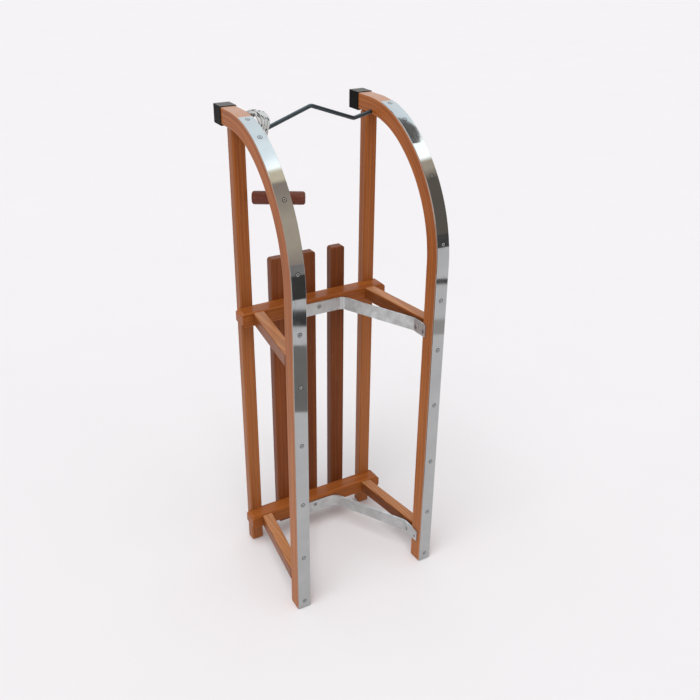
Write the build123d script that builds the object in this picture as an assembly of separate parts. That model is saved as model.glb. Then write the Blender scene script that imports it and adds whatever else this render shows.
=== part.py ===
from build123d import *
import math
import os

# A wooden sled that is parked upright on its tail: Z is up and is the way the sled points, X runs
# across it, and Y goes from the running faces (low) to the seat (high). Lengths are in millimetres.
# A "depth" is measured from the running face of the shoes towards the seat.

# Overall sizes
sled_length = 1000.0          # tails to the top of the tip caps
tail_spacing = 308.5          # between the runners' centre lines at the running face
tip_spacing = 296.0           # the same, at the tips, because the runners lean together
seat_height = 279.5           # running face to the top of the seat
tip_overhang = 44.5           # from there on to the ends of the caps

# Bent runners
runner_width = 30.0
runner_height = 33.0
runner_rounding = 4.0         # long edges on the seat side
runner_edge = 1.0             # long edges beside the shoe
long_bend_radius = 290.0      # wood face, where the curl begins
long_bend_angle = 55.0        # degrees turned by this radius, before a shorter one

# Steel shoes
shoe_width = 28.0
shoe_thickness = 2.0
shoe_edge = 0.6
shoe_tail_wrap = 24.0         # bent round the runner's tail
shoe_end_angle = 11.5         # degrees of the tip bend left bare before the straight tip

# Tip caps
cap_wall = 1.5
cap_length = 34.0
cap_clearance = 0.1
cap_rounding = 1.0

# Seat rails and slats
rail_spacing = 290.0
rail_width = 27.0
rail_thickness = 24.5
rail_rounding = 4.0
rail_end_chamfer = 5.0
slat_count = 3
slat_width = 33.0
slat_thickness = 21.0
slat_pitch = 70.0
slat_edge = 2.0
slat_corner = 6.0
slat_top = 691.5              # height of the slats' front ends
slat_tail = 22.0

# Cross beams with their splayed legs and flat braces
beam_length = 338.0
beam_height = 33.5            # in depth, under the slats
beam_width = 31.0             # along the sled
beam_end_chamfer = 6.0
beam_rounding = 3.0
leg_width = 25.0
leg_thickness = 28.0          # along the sled
leg_from_end = 37.0           # beam's end to the middle of a leg
leg_rounding = 4.0
brace_width = 28.0
brace_thickness = 2.5
contact_gap = 0.1

# Draw bow between the tips
bow_diameter = 8.0
bow_depth = 242.0
bow_seat = 5.0                # above the underside of the runners' tips, where it enters them
bow_stub = 40.0               # straight run beside each runner
bow_stub_drop = 9.0
bow_rise = 33.5               # from the ends of the straight runs to the bend in the middle
bow_bend_radius = 12.0
bow_socket = 12.0
bow_clearance = 0.1

# Tow rope and handle
rope_diameter = 6.0
rope_sides = 12               # of the rope's section, which keeps its faces few
winding_width = 30.0
winding_layers = 3
winding_lift = 9.0            # its middle above the bow, because most of the turns lie on top
winding_gap = 0.3
strand_bend_share = 0.45      # of the shorter run beside each of its bends
handle_length = 103.0
handle_diameter = 26.0
handle_end_cut = 4.5
handle_turn = -30.3           # degrees about the vertical
handle_centre = (-82.0, 223.0, 831.5)    # x, depth, height
knot_diameter = 15.0

# Where each beam stands: name, height of the beam's middle, height of the brace's middle
TRESTLES = (
    ("front", 585.5, 579.0),
    ("rear", 72.0, 66.0),
)

# Each brace's shape: bend radius, length on the beam, depths at which its tabs begin and end
BRACE_SHAPES = {
    "front": (12.0, 122.0, 61.0, 22.0),
    "rear": (26.0, 88.0, 58.0, 11.0),
}

# Side of the sled: name and sign of X
SIDES = (("left", -1), ("right", 1))

# Worked-out places
tip_depth = seat_height + tip_overhang
wood_face = shoe_thickness
wood_back = wood_face + runner_height
wood_top = sled_length - cap_wall - cap_clearance
rail_front = seat_height - rail_thickness
centre_shift = (wood_face + long_bend_radius - rail_front) / math.cos(math.radians(long_bend_angle))
tip_bend_radius = long_bend_radius - centre_shift    # so that the curl ends where the rails begin
bend_start = (
    wood_top
    - long_bend_radius * math.sin(math.radians(long_bend_angle))
    - tip_bend_radius * (1 - math.sin(math.radians(long_bend_angle)))
)
long_bend_centre = (wood_face + long_bend_radius, bend_start)
tip_bend_centre = (
    rail_front,
    long_bend_centre[1] + centre_shift * math.sin(math.radians(long_bend_angle)),
)
wood_tip = tip_depth - cap_wall - cap_clearance
tip_underside = wood_top - runner_height
lean = math.degrees(math.asin((tail_spacing - tip_spacing) / 2 / tip_depth))
lean_slope = math.tan(math.radians(lean))
bow_entry_height = tip_underside + bow_seat
bow_peak_height = bow_entry_height - bow_stub_drop + bow_rise
slat_front = seat_height - slat_thickness
beam_front = slat_front - beam_height

# The origin stands at the middle of the footprint box
low_depth = -shoe_width / 2 * math.sin(math.radians(lean))
cap_half_width = runner_width / 2 + cap_clearance + cap_wall
high_depth = tip_depth * math.cos(math.radians(lean)) + cap_half_width * math.sin(math.radians(lean))
middle_depth = (low_depth + high_depth) / 2


def at(x, depth, height):
    """A point given by its place across, its depth from the running face and its height."""
    return Vector(x, depth - middle_depth, height)


def inner_face(depth):
    """Distance from the middle of the sled to a runner's inner side, at a depth."""
    side = tail_spacing / 2 - depth * lean_slope
    return side - runner_width / 2 / math.cos(math.radians(lean))


def outer_face(depth):
    """Distance from the middle of the sled to a runner's outer side, at a depth."""
    return inner_face(depth) + runner_width / math.cos(math.radians(lean))


def back_face(x):
    """Depth of a runner's seat side, at a distance from the middle of the sled."""
    return wood_back / math.cos(math.radians(lean)) + (x - tail_spacing / 2) * lean_slope


def curl(inset, tail, end_angle, tip):
    """Edges of a runner's line, set in from its wood face, from the tail to the tip.

    The line stops in the tip bend at end_angle degrees short of level, or goes on to the depth tip.
    """
    edges = [Line((wood_face + inset, tail), (wood_face + inset, bend_start))]
    edges.append(CenterArc(long_bend_centre, long_bend_radius - inset, 180, -long_bend_angle))
    turn = 90 - long_bend_angle - end_angle
    edges.append(CenterArc(tip_bend_centre, tip_bend_radius - inset, 180 - long_bend_angle, -turn))
    if tip is not None:
        height = tip_bend_centre[1] + tip_bend_radius - inset
        edges.append(Line((tip_bend_centre[0], height), (tip, height)))
    return edges


def band(outer, inner, width):
    """A solid of one width between two lines drawn in the runner's plane."""
    ends = [Line(outer[0] @ 0, inner[0] @ 0), Line(outer[-1] @ 1, inner[-1] @ 1)]
    face = make_face(Plane.YZ * Curve(outer + inner + ends))
    return extrude(face, width / 2, both=True)


def stand(solid, sign):
    """Sets a piece made in the runner's plane in its place, leaning towards the middle."""
    leaning = Rotation(0, 0, sign * lean) * solid
    return Location(at(sign * tail_spacing / 2, 0, 0)) * leaning


def edges_along(solid, lines, width):
    """The edges that a band's sides have along the given lines."""
    near = 0.01
    found = []
    for line in lines:
        middle = line @ 0.5
        for edge in solid.edges():
            point = edge @ 0.5
            on_side = abs(abs(point.X) - width / 2) < near
            if on_side and abs(point.Y - middle.X) < near and abs(point.Z - middle.Y) < near:
                found.append(edge)
    return found


def bow_point(sign, inward):
    """A point of the draw bow's straight run, so far in from the runner's inner side."""
    drop = bow_stub_drop * inward / bow_stub
    return at(sign * (inner_face(bow_depth) - inward), bow_depth, bow_entry_height - drop)


def along_stub(sign, inward):
    """A plane on the draw bow's straight run, facing the runner."""
    direction = bow_point(sign, 0) - bow_point(sign, bow_stub)
    return Plane(origin=bow_point(sign, inward), z_dir=direction)


def runner(sign):
    """A bent runner with the blind hole that takes the draw bow's end."""
    outer = curl(0, shoe_thickness, 0, wood_tip)
    inner = curl(runner_height, shoe_thickness, 0, wood_tip)
    solid = band(outer, inner, runner_width)
    solid = fillet(edges_along(solid, inner, runner_width), runner_rounding)
    solid = chamfer(edges_along(solid, outer, runner_width), runner_edge)
    placed = stand(solid, sign)
    socket = (bow_point(sign, 0) - bow_point(sign, -bow_socket)).length
    hole = Cylinder(bow_diameter / 2 + bow_clearance, 2 * (socket + bow_clearance))
    return placed - along_stub(sign, 0) * hole


def shoe(sign):
    """The steel strip on a running face, bent round the tail."""
    outer = curl(-shoe_thickness, 0, shoe_end_angle, None)
    inner = curl(0, 0, shoe_end_angle, None)
    strip = band(outer, inner, shoe_width)
    strip = chamfer(edges_along(strip, outer, shoe_width), shoe_edge)
    wrap = Pos(0, shoe_thickness + shoe_tail_wrap / 2, shoe_thickness / 2) * Box(
        shoe_width, shoe_tail_wrap, shoe_thickness
    )
    return stand(strip + wrap, sign)


def cap(sign):
    """A thin plastic box, open towards the curl, pushed over a runner's tip."""
    wide = runner_width + 2 * (cap_clearance + cap_wall)
    high = runner_height + 2 * (cap_clearance + cap_wall)
    middle = wood_top - runner_height / 2
    shell = Pos(0, tip_depth - cap_length / 2, middle) * Box(wide, cap_length, high)
    shell = fillet(shell.edges().filter_by(Axis.Y), cap_rounding)
    room = Pos(0, tip_depth - cap_wall - cap_length / 2, middle) * Box(
        wide - 2 * cap_wall, cap_length, high - 2 * cap_wall
    )
    return stand(shell - room, sign)


def rail(sign):
    """A seat rail from the tail up to the underside of the runner's tip."""
    solid = Box(rail_width, rail_thickness, tip_underside, align=(Align.CENTER, Align.MIN, Align.MIN))
    solid = fillet(solid.edges().filter_by(Axis.Z), rail_rounding)
    tail_edges = solid.faces().sort_by(Axis.Z)[0].edges()
    solid = chamfer(tail_edges, rail_end_chamfer / 2)
    return Location(at(sign * rail_spacing / 2, rail_front, 0)) * solid


def slat(x):
    """A seat slat with rounded corners."""
    length = slat_top - slat_tail
    solid = Box(slat_width, slat_thickness, length, align=(Align.CENTER, Align.MIN, Align.MIN))
    solid = fillet(solid.edges().filter_by(Axis.Y), slat_corner)
    flat_sides = solid.faces().filter_by(Axis.Y)
    solid = chamfer(flat_sides.edges(), slat_edge)
    return Location(at(x, slat_front, slat_tail)) * solid


def beam(height):
    """A cross beam, housed out for the two rails, with cut corners at its ends."""
    solid = Box(beam_length, beam_height, beam_width, align=(Align.CENTER, Align.MIN, Align.CENTER))
    solid = chamfer(solid.faces().filter_by(Axis.X).edges().filter_by(Axis.Y), beam_end_chamfer)
    under = solid.faces().sort_by(Axis.Y)[0].edges().filter_by(Axis.X)
    solid = fillet(under, beam_rounding)
    room = rail_width + 2 * contact_gap
    housing = Box(room, beam_height, 2 * beam_width, align=(Align.CENTER, Align.MIN, Align.CENTER))
    for name, sign in SIDES:
        solid -= Pos(sign * rail_spacing / 2, rail_front - beam_front, 0) * housing
    return Location(at(0, beam_front, height)) * solid


def leg(sign, height):
    """A splayed leg from the beam's underside to the seat side of a runner."""
    half = leg_width / 2
    top = beam_length / 2 - leg_from_end
    foot = outer_face(wood_back) - half
    corners = [
        (sign * (top - half), beam_front - middle_depth),
        (sign * (top + half), beam_front - middle_depth),
        (sign * (foot + half), back_face(foot + half) - middle_depth),
        (sign * (foot - half), back_face(foot - half) - middle_depth),
    ]
    solid = extrude(make_face(Polyline(*corners, close=True)), leg_thickness / 2, both=True)
    long_edges = []
    for edge in solid.edges():
        direction = edge % 0.5
        if abs(direction.Y) > 0.5:
            long_edges.append(edge)
    solid = fillet(long_edges, leg_rounding)
    return Location((0, 0, height)) * solid


def brace(place, height):
    """A flat steel strip from runner to runner, over the beam's underside."""
    bend_radius, flat, top_depth, end_depth = BRACE_SHAPES[place]
    offset = brace_thickness / 2 + contact_gap
    over = beam_front - offset
    half_flat = flat / 2
    tab_top = (inner_face(top_depth) - offset, top_depth)
    tab_end = (inner_face(end_depth) - offset, end_depth)
    route = [
        at(-tab_end[0], tab_end[1], height),
        at(-tab_top[0], tab_top[1], height),
        at(-half_flat, over, height),
        at(half_flat, over, height),
        at(tab_top[0], tab_top[1], height),
        at(tab_end[0], tab_end[1], height),
    ]
    path = FilletPolyline(*route, radius=bend_radius)
    start = Plane(origin=path @ 0, x_dir=(0, 0, 1), z_dir=path % 0)
    return sweep(start * Rectangle(brace_width, brace_thickness), path=path)


def draw_bow():
    """A round steel bar between the tips, bent up to a point in the middle."""
    route = [
        bow_point(-1, -bow_socket),
        bow_point(-1, bow_stub),
        at(0, bow_depth, bow_peak_height),
        bow_point(1, bow_stub),
        bow_point(1, -bow_socket),
    ]
    path = FilletPolyline(*route, radius=bow_bend_radius)
    start = Plane(origin=path @ 0, z_dir=path % 0)
    return sweep(start * Circle(bow_diameter / 2), path=path)


# The rope is wound on the bow beside the left runner, then hangs to its handle
winding_radius = bow_diameter / 2 + winding_gap + winding_layers * rope_diameter
stub_slope = math.atan2(bow_stub_drop, bow_stub)
winding_reach = (winding_radius - winding_lift) * math.sin(stub_slope)    # of its low end, past its middle
winding_inward = inner_face(bow_depth) - (rail_spacing - rail_width) / 2 + winding_reach + 2 * winding_gap
handle_x, handle_depth, handle_z = handle_centre
knot_top = handle_z - handle_diameter / 2 - winding_gap

# Points of the hanging stretch: across, depth and height
ROPE_ROUTE = (
    (-104.5, 226.0, 953.8),
    (-102.5, 224.5, 912.0),
    (handle_x, handle_depth, 868.0),
    (handle_x, handle_depth, knot_top),
)


def rope_winding():
    """The outer shape of the rope's turns round the bow."""
    turns = extrude(RegularPolygon(winding_radius, 2 * rope_sides), winding_width / 2, both=True)
    turns = chamfer(turns.faces().filter_by(Axis.Z).edges(), rope_diameter / 2)
    middle = along_stub(-1, winding_inward + winding_width / 2)
    lift = Location((winding_lift * math.sin(stub_slope), 0, winding_lift * math.cos(stub_slope)))
    return lift * (middle * turns) - middle * Cylinder(bow_diameter / 2 + winding_gap, 2 * winding_width)


def tow_handle():
    """A round wooden bar with a hole for the rope through its middle."""
    bar = Cylinder(handle_diameter / 2, handle_length, rotation=(0, 90, 0))
    bar = chamfer(bar.edges().filter_by(GeomType.CIRCLE), handle_end_cut)
    bar -= Cylinder(rope_diameter / 2 + winding_gap, 2 * handle_diameter)
    return Location(at(*handle_centre)) * (Rotation(0, 0, handle_turn) * bar)


def rope_knot():
    """The knot that stops the handle."""
    knot = extrude(RegularPolygon(knot_diameter / 2, rope_sides), knot_diameter / 2, both=True)
    knot = chamfer(knot.faces().filter_by(Axis.Z).edges(), knot_diameter / 4)
    return Location(at(handle_x, handle_depth, knot_top - knot_diameter / 2)) * knot


def rope_strand():
    """The stretch that hangs from the winding through the handle to the knot."""
    route = [at(*point) for point in ROPE_ROUTE]
    radii = []
    for before, point, after in zip(route, route[1:], route[2:]):
        turn = (point - before).get_angle(after - point)
        run = min((point - before).length, (after - point).length)
        radii.append(strand_bend_share * run / math.tan(math.radians(turn / 2)))
    path = FilletPolyline(*route, radius=radii)
    start = Plane(origin=path @ 0, z_dir=path % 0)
    return sweep(start * RegularPolygon(rope_diameter / 2, rope_sides), path=path)


def build():
    """Every piece by its node's name."""
    pieces = {}
    for side, sign in SIDES:
        pieces[f"runner_{side}"] = runner(sign)
        pieces[f"shoe_{side}"] = shoe(sign)
        pieces[f"cap_{side}"] = cap(sign)
        pieces[f"rail_{side}"] = rail(sign)
        for place, beam_z, brace_z in TRESTLES:
            pieces[f"leg_{place}_{side}"] = leg(sign, beam_z)
    for place, beam_z, brace_z in TRESTLES:
        pieces[f"beam_{place}"] = beam(beam_z)
        pieces[f"brace_{place}"] = brace(place, brace_z)
    for index in range(slat_count):
        pieces[f"slat_{index + 1}"] = slat(slat_pitch * (index - (slat_count - 1) / 2))
    pieces["draw_bow"] = draw_bow()
    pieces["rope_winding"] = rope_winding()
    pieces["rope_strand"] = rope_strand()
    pieces["rope_knot"] = rope_knot()
    pieces["tow_handle"] = tow_handle()
    return pieces


os.makedirs("parts", exist_ok=True)
for name, solid in build().items():
    export_step(solid, f"parts/{name}.step")
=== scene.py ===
"""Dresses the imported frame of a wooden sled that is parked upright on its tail, and stages it."""

import math
import random

import bmesh
import bpy
from mathutils import Matrix, Vector


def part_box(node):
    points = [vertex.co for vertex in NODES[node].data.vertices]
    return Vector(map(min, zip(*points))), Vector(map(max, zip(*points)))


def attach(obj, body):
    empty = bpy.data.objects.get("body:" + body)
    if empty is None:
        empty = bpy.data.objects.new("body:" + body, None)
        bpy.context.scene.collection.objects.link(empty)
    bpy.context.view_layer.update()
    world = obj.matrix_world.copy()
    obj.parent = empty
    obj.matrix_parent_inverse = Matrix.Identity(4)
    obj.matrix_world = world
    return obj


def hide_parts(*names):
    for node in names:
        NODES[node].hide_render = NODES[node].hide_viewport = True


bl_info = {
    "name": "Wooden Sled",
    "version": (1, 0, 0),
    "blender": (4, 5, 0),
    "location": "3D View > Sidebar > Sled",
    "description": "Bent runners, shoes, seat, draw bow and tow rope of a wooden sled",
    "category": "Object",
}

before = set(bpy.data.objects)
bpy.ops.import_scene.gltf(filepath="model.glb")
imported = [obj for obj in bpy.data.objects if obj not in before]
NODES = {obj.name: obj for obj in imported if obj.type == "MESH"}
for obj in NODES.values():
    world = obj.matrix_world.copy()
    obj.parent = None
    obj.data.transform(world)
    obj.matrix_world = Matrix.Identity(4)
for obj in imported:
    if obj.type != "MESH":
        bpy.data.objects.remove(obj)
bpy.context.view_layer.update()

# Z is up and is the way the sled points, and a depth goes from the running face to the seat
SIDES = (("left", -1), ("right", 1))

# Where the shoe's screws sit: heights on its straight part, then degrees turned along the curl
SHOE_SCREW_HEIGHTS = (0.020, 0.137, 0.272, 0.413, 0.542, 0.651)
SHOE_SCREW_TURNS = (9.0, 34.7, 61.4, 75.5)

# Brace screws: name, x and height on the flat, depths and height on each tab
BRACE_SCREWS = (
    ("front", 0.005, 0.582, (0.056, 0.031), 0.575),
    ("rear", -0.009, 0.070, (0.052, 0.021), 0.062),
)

# Heights of the beams' middles, where the seat's screws go in
BEAM_HEIGHTS = (0.5855, 0.072)

# Clearance of pieces that fit into each other
FIT = 0.0001

# How far a face, edge or corner may lie from where it is looked for, roughly and closely
NEAR = 0.0001
CLOSE = 0.00001

# Distance within which corners are one
SAME_PLACE = 0.000005

# Faces along each of the curl's two bends
CURL_STEPS = (36, 24)

# The rope's braid: cells round it, their height in mm, and the ridges of its relief and their pitch
BRAID_CELLS = 8.0
BRAID_RISE = 4.8
BRAID_RIDGES = 6
BRAID_PITCH = 0.0036

# The camera: its place, its turn in degrees, and its lens and the width of its sensor in mm
CAMERA_PLACE = (-0.77823, -1.39681, 1.34370)
CAMERA_TURN = (62.4084, -0.6072, -30.2147)
CAMERA_LENS = 44.4344
CAMERA_SENSOR = 36


def a_length(name, description, default):
    """A property for a length."""
    return bpy.props.FloatProperty(name=name, description=description, default=default, unit="LENGTH")


def an_angle(name, description, default):
    """A property for an angle."""
    return bpy.props.FloatProperty(name=name, description=description, default=default, subtype="ANGLE")


def a_colour(name, description, default):
    """A property for a colour."""
    return bpy.props.FloatVectorProperty(
        name=name, description=description, default=default, size=3, subtype="COLOR"
    )


class SledSizes(bpy.types.PropertyGroup):
    """Lengths and angles of the sled's own pieces."""

    tail_spacing: a_length("Tail spacing", "Between the runners' centre lines at the running face", 0.3085)
    tip_spacing: a_length("Tip spacing", "Between the runners' centre lines at their tips", 0.296)
    tip_depth: a_length("Tip depth", "From the running face to the ends of the tip caps", 0.324)
    runner_width: a_length("Runner width", "Across the bent wood", 0.030)
    runner_height: a_length("Runner height", "From the shoe to the seat side of the bent wood", 0.033)
    runner_rounding: a_length("Runner rounding", "Of the runner's long edges on the seat side", 0.004)
    wood_top: a_length("Wood top", "Height of the bent wood's highest face", 0.9984)
    long_bend: a_length("Long bend radius", "Of the wood face where the curl begins", 0.290)
    long_turn: an_angle("Long bend angle", "Turned by the first radius", math.radians(55))
    rail_front: a_length(
        "Rails' depth", "From the running face to the seat rails, where the curl ends", 0.255
    )
    shoe_width: a_length("Shoe width", "Across the steel shoe", 0.028)
    shoe_thickness: a_length("Shoe thickness", "Of the steel shoe", 0.002)
    shoe_wrap: a_length("Shoe wrap", "How far the shoe goes round the runner's tail", 0.026)
    shoe_short: an_angle("Bare tip", "Angle of the tip bend that the shoe leaves bare", math.radians(11.5))
    cap_length: a_length("Cap length", "Of the plastic caps along the tips", 0.034)
    cap_wall: a_length("Cap wall", "Thickness of the plastic caps", 0.0015)
    bow_depth: a_length("Bow depth", "From the running face to the draw bow", 0.242)
    bow_height: a_length("Bow height", "Of the place where the draw bow enters the runners", 0.9704)
    bow_slope: an_angle(
        "Bow slope", "How steeply the draw bow's straight ends fall from the runners", math.atan(9 / 40)
    )
    bow_socket: a_length("Bow socket", "How far the draw bow goes into each runner", 0.012)
    bow_diameter: a_length("Bow diameter", "Of the draw bow's round bar", 0.008)
    screw_head: a_length("Screw head", "Diameter of the screws' heads", 0.0066)
    rope_diameter: a_length("Rope diameter", "Of the braided tow rope", 0.006)
    handle_length: a_length("Handle length", "Of the turned wooden handle", 0.103)
    handle_diameter: a_length("Handle diameter", "Of the turned wooden handle", 0.026)
    handle_turn: an_angle("Handle turn", "Of the handle about the vertical", math.radians(-30.3))


class SledFinish(bpy.types.PropertyGroup):
    """Colours of the sled's finishes and of its stage."""

    beech_light: a_colour("Beech, light", "Light grain of the varnished beech", (0.390, 0.122, 0.026))
    beech_dark: a_colour("Beech, dark", "Dark grain of the varnished beech", (0.170, 0.040, 0.008))
    # Painted shade: the slats' colours are darker than the beech's, for the shade on the seat's underside
    slat_shaded_light: a_colour("Slat, light", "Light grain of the seat's darker slats", (0.185, 0.052, 0.014))
    slat_shaded_dark: a_colour("Slat, dark", "Dark grain of the seat's darker slats", (0.080, 0.020, 0.006))
    handle_light: a_colour("Handle, light", "Light grain of the handle", (0.180, 0.055, 0.034))
    handle_dark: a_colour("Handle, dark", "Dark grain of the handle", (0.085, 0.025, 0.018))
    steel: a_colour("Polished steel", "Of the bright shoes", (0.455, 0.465, 0.465))
    zinc: a_colour("Zinc", "Of the plated strips and screws", (0.60, 0.62, 0.62))
    bow_steel: a_colour("Bow steel", "Of the dark draw bow", (0.078, 0.098, 0.113))
    plastic: a_colour("Plastic", "Of the tip caps", (0.005, 0.0045, 0.004))
    # Painted highlight: the paler colour given to the tip caps' up-facing faces
    plastic_painted_highlight: a_colour(
        "Plastic, worn", "Of the tip caps' outer faces, which rub on the ground", (0.150, 0.145, 0.135)
    )
    rope_pale: a_colour("Rope, pale", "Pale strands of the tow rope", (0.70, 0.73, 0.72))
    rope_fleck: a_colour("Rope, fleck", "Dark tracer strands of the tow rope", (0.010, 0.013, 0.020))
    floor: a_colour("Floor", "Of the pale floor", (0.85, 0.83, 0.84))


# A plain room that shows in polished metal: its colours, then each side wall's bands from the
# horizon (0.5) to overhead (1)
SHADE = (0.08, 0.07, 0.06, 1)
DUSK = (0.19, 0.16, 0.14, 1)
BROWN = (0.29, 0.25, 0.20, 1)
STRAW = (0.45, 0.40, 0.30, 1)
WHITE = (0.95, 1.00, 1.00, 1)
SKY = (0.70, 0.80, 0.85, 1)
ROOM_LEFT = (
    (0.50, DUSK),
    (0.62, BROWN),
    (0.76, BROWN),
    (0.91, DUSK),
    (0.92, STRAW),
    (0.94, STRAW),
    (0.945, WHITE),
    (0.96, SKY),
)
ROOM_RIGHT = ((0.50, SHADE), (0.80, SHADE), (0.84, BROWN), (0.865, BROWN), (0.875, WHITE))
ROOM_FAR = (0.55, 0.62, 0.66, 1)
ROOM_STRENGTH = 2.4

# Cards that show in the shoes: place, width, height, degrees of lean from upright and of turn, and grey
CARDS = (
    ((0.300, -1.250, 0.713), 0.16, 0.174, 0, 24.6, 0.46),
    ((0.322, -1.250, 0.408), 0.16, 0.436, 0, 24.6, 0.085),
    ((0.344, -1.250, 0.114), 0.16, 0.060, 0, 24.6, 0.080),
    ((0.265, -1.075, 0.002), 0.16, 0.430, 90, 24.6, 0.24),
    ((0.967, -1.250, 0.690), 0.24, 0.240, 0, 24.6, 0.13),
    ((1.044, -1.250, 0.100), 0.22, 0.022, 0, 24.6, 0.10),
    ((0.930, -1.110, 0.002), 0.22, 0.120, 90, 24.6, 0.48),
    ((0.727, 0.059, 1.915), 0.20, 0.600, 90, 4.65, 0.22),
)


# Places on the sled

def middle_depth(sizes):
    """Depth of the frame's origin, under the middle of the sled's box."""
    lean = lean_angle(sizes)
    low = -sizes.shoe_width / 2 * math.sin(lean)
    half_cap = sizes.runner_width / 2 + FIT + sizes.cap_wall
    return (low + sizes.tip_depth * math.cos(lean) + half_cap * math.sin(lean)) / 2


def lean_angle(sizes):
    """How far each runner leans towards the middle."""
    return math.asin((sizes.tail_spacing - sizes.tip_spacing) / 2 / sizes.tip_depth)


def inner_face(sizes, depth):
    """Distance from the middle of the sled to a runner's inner side, at a depth."""
    lean = lean_angle(sizes)
    return sizes.tail_spacing / 2 - depth * math.tan(lean) - sizes.runner_width / 2 / math.cos(lean)


def at(sizes, x, depth, height):
    """A point of the frame from its place across, its depth and its height."""
    return Vector((x, depth - middle_depth(sizes), height))


def standing(sizes, sign):
    """Takes a piece from the runner's own plane to its place on the sled."""
    foot = at(sizes, sign * sizes.tail_spacing / 2, 0, 0)
    return Matrix.Translation(foot) @ Matrix.Rotation(sign * lean_angle(sizes), 4, "Z")


def bends(sizes):
    """The curl's two bends, each with its centre's depth and height and its radius at the wood face."""
    first = (sizes.shoe_thickness + sizes.long_bend, 0)
    shift = (first[0] - sizes.rail_front) / math.cos(sizes.long_turn)
    tip_bend = sizes.long_bend - shift
    rise = sizes.long_bend * math.sin(sizes.long_turn) + tip_bend * (1 - math.sin(sizes.long_turn))
    first = (first[0], sizes.wood_top - rise)
    second = (sizes.rail_front, first[1] + shift * math.sin(sizes.long_turn))
    return (first, sizes.long_bend), (second, tip_bend)


def on_curl(sizes, turn, inset):
    """Depth and height of the point of the curl where it has turned so far, set in from the wood face."""
    long_part, tip_part = bends(sizes)
    centre, radius = long_part if turn <= sizes.long_turn else tip_part
    reach = radius - inset
    return centre[0] - reach * math.cos(turn), centre[1] + reach * math.sin(turn)


def along_runner(sizes, depth, height):
    """How far a point lies in from the wood face, and how far along the runner from its tail."""
    (first, long_bend), (second, tip_bend) = bends(sizes)
    if height <= first[1]:
        return depth - sizes.shoe_thickness, height
    turn = math.atan2(height - first[1], first[0] - depth)
    if turn <= sizes.long_turn:
        away = math.hypot(height - first[1], first[0] - depth)
        return long_bend - away, first[1] + long_bend * turn
    first_run = first[1] + long_bend * sizes.long_turn
    turn = math.atan2(height - second[1], second[0] - depth)
    if turn < math.radians(90):
        away = math.hypot(height - second[1], second[0] - depth)
        return tip_bend - away, first_run + tip_bend * (turn - sizes.long_turn)
    last_run = first_run + tip_bend * (math.radians(90) - sizes.long_turn)
    return sizes.wood_top - height, last_run + depth - second[0]


# Modelling

def select_only(piece):
    """Leaves one object selected and active, in object mode."""
    if bpy.context.mode != "OBJECT":
        bpy.ops.object.mode_set(mode="OBJECT")
    bpy.ops.object.select_all(action="DESELECT")
    piece.select_set(True)
    bpy.context.view_layer.objects.active = piece


def started(name):
    """The primitive just added, under its name, with its place and size in its mesh."""
    piece = bpy.context.active_object
    piece.name = piece.data.name = name
    select_only(piece)
    bpy.ops.object.transform_apply(location=True, rotation=True, scale=True)
    return piece


def pick(piece, kind, test):
    """Selects the faces, edges or corners of a mesh in edit mode that pass a test."""
    bpy.ops.mesh.select_mode(type=kind)
    bpy.ops.mesh.select_all(action="DESELECT")
    mesh = bmesh.from_edit_mesh(piece.data)
    parts = {"FACE": mesh.faces, "EDGE": mesh.edges, "VERT": mesh.verts}[kind]
    found = [part for part in parts if test(part)]
    if not found:
        raise RuntimeError(f"{piece.name}: nothing to select")
    for part in found:
        part.select_set(True)
    bmesh.update_edit_mesh(piece.data)


def edit(piece):
    """Goes into edit mode on one piece."""
    select_only(piece)
    bpy.ops.object.mode_set(mode="EDIT")


def closed():
    """Merges doubles, turns the faces outwards and leaves edit mode."""
    bpy.ops.mesh.select_all(action="SELECT")
    bpy.ops.mesh.remove_doubles(threshold=SAME_PLACE)
    bpy.ops.mesh.normals_make_consistent(inside=False)
    bpy.ops.object.mode_set(mode="OBJECT")


def round_edges(offset, segments):
    """Rounds the selected edges."""
    bpy.ops.mesh.bevel(offset=offset, offset_type="OFFSET", segments=segments, affect="EDGES")


def extruded(*way):
    """Extrudes what is selected."""
    bpy.ops.mesh.extrude_region_move(TRANSFORM_OT_translate={"value": way})


def cut_out(piece, cutter):
    """Takes one piece out of another and deletes it."""
    select_only(piece)
    cut = piece.modifiers.new("cut", "BOOLEAN")
    cut.operation, cut.solver, cut.object = "DIFFERENCE", "EXACT", cutter
    bpy.ops.object.modifier_apply(modifier=cut.name)
    bpy.data.objects.remove(cutter)


def moved(piece, matrix):
    """Puts a matrix into a piece's mesh."""
    piece.matrix_world = matrix
    select_only(piece)
    bpy.ops.object.transform_apply(location=True, rotation=True, scale=True)


def smooth(piece, degrees):
    """Shades a piece smooth up to an angle, and keeps its flat faces flat."""
    select_only(piece)
    bpy.ops.object.shade_smooth_by_angle(angle=math.radians(degrees))
    flat = piece.modifiers.new("flat", "WEIGHTED_NORMAL")
    flat.keep_sharp = True
    bpy.ops.object.modifier_apply(modifier=flat.name)


def copied(piece, name, matrix):
    """A copy with its own mesh, put in place by a matrix."""
    twin = piece.copy()
    twin.data = piece.data.copy()
    twin.name = twin.data.name = name
    bpy.context.scene.collection.objects.link(twin)
    twin.data.transform(matrix)
    return twin


def stood_on_both_sides(sizes, piece, name):
    """Stands a left piece on the sled and returns its mirror image on the right."""
    moved(piece, standing(sizes, -1))
    turn = standing(sizes, 1) @ Matrix.Diagonal((-1, 1, 1, 1)) @ standing(sizes, -1).inverted()
    twin = copied(piece, name, turn)
    twin.data.flip_normals()
    return twin


def joined(pieces, name):
    """One piece made of several."""
    select_only(pieces[0])
    for piece in pieces:
        piece.select_set(True)
    if len(pieces) > 1:
        bpy.ops.object.join()
    whole = bpy.context.active_object
    whole.name = whole.data.name = name
    return whole


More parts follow.
